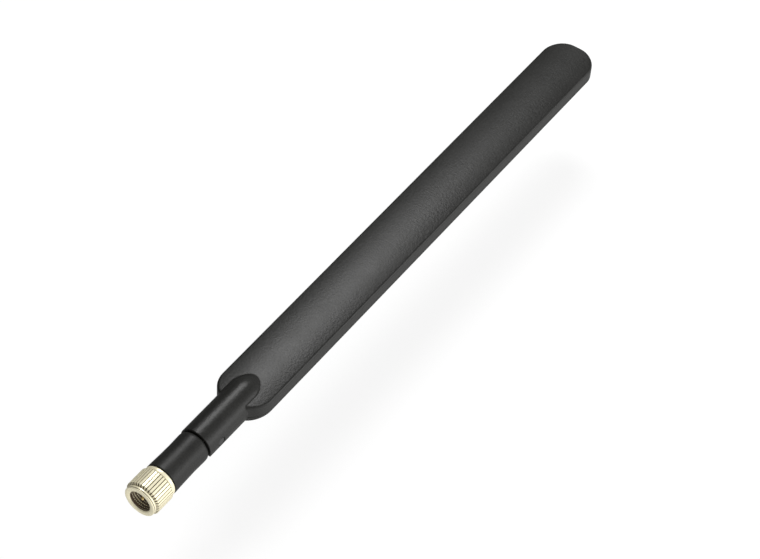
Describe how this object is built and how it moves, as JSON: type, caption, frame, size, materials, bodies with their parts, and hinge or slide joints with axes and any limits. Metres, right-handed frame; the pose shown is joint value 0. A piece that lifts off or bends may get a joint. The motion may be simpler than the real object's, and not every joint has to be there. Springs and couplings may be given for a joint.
{
  "type": "hinged paddle antenna",
  "caption": "Omnidirectional paddle antenna for cellular data equipment, with a folding hinge and a screw-on coaxial plug.",
  "frame": {"origin": "on the plug's axis, in the plug's reference plane, where the centre contact's free pin begins", "axes": "+Y along the antenna from the plug to the tip, +Z out of the front face, +X to the antenna's right"},
  "size_m": [0.015, 0.195, 0.0098],
  "materials": {
    "plated_nut": "champagne nickel plating on brass, straight knurl",
    "plated_body": "light gold-nickel plating on turned brass",
    "gold_contact": "gold plated",
    "spring_bronze": "spring bronze",
    "ptfe": "waxy white PTFE",
    "gasket_rubber": "soft rubber",
    "base_plastic": "satin black ABS",
    "shell_plastic": "black ABS with a fine spark-eroded grain",
    "pin_plastic": "black acetal",
    "heat_shrink": "shrunk polyolefin sleeve",
    "cable_jacket": "brown FEP jacket",
    "silvered_wire": "silver-plated copper",
    "board_laminate": "green solder mask on glass-epoxy laminate",
    "copper": "bare copper foil",
    "solder": "tin solder",
    "foam": "closed-cell foam"
  },
  "bodies": {
    "paddle": {"coax_hinge_loop": "cable_jacket", "coax_conductor_upper": "silvered_wire", "coax_insulation_upper": "ptfe", "coax_braid_upper": "silvered_wire", "coax_jacket_upper": "cable_jacket", "hinge_pin_left": "pin_plastic", "hinge_pin_right": "pin_plastic", "front_shell": "shell_plastic", "back_shell": "shell_plastic", "circuit_board": "board_laminate", "front_copper": "copper", "back_copper": "copper", "solder_joints": "solder", "foam_pads": "foam"},
    "swivel_base": {"connector_body": "plated_body", "plug_insulator": "ptfe", "centre_contact": "gold_contact", "thread_gasket": "gasket_rubber", "retaining_ring": "spring_bronze", "base_tube": "base_plastic", "crimp_ferrule": "plated_body", "heat_shrink_sleeve": "heat_shrink", "coax_conductor_lower": "silvered_wire", "coax_insulation_lower": "ptfe", "coax_braid_lower": "silvered_wire", "coax_jacket_lower": "cable_jacket"},
    "coupling_nut": {"coupling_nut": "plated_nut"}
  },
  "joints": [
    {"name": "fold", "type": "hinge", "parent": "paddle", "child": "swivel_base", "pos_m": [0, 0.0228, 0], "axis": [1, 0, 0], "range_deg": [0, 90], "deforming": ["coax_hinge_loop"]},
    {"name": "nut_spin", "type": "hinge", "parent": "swivel_base", "child": "coupling_nut", "pos_m": [0, 0, 0], "axis": [0, 1, 0], "continuous": true}
  ]
}
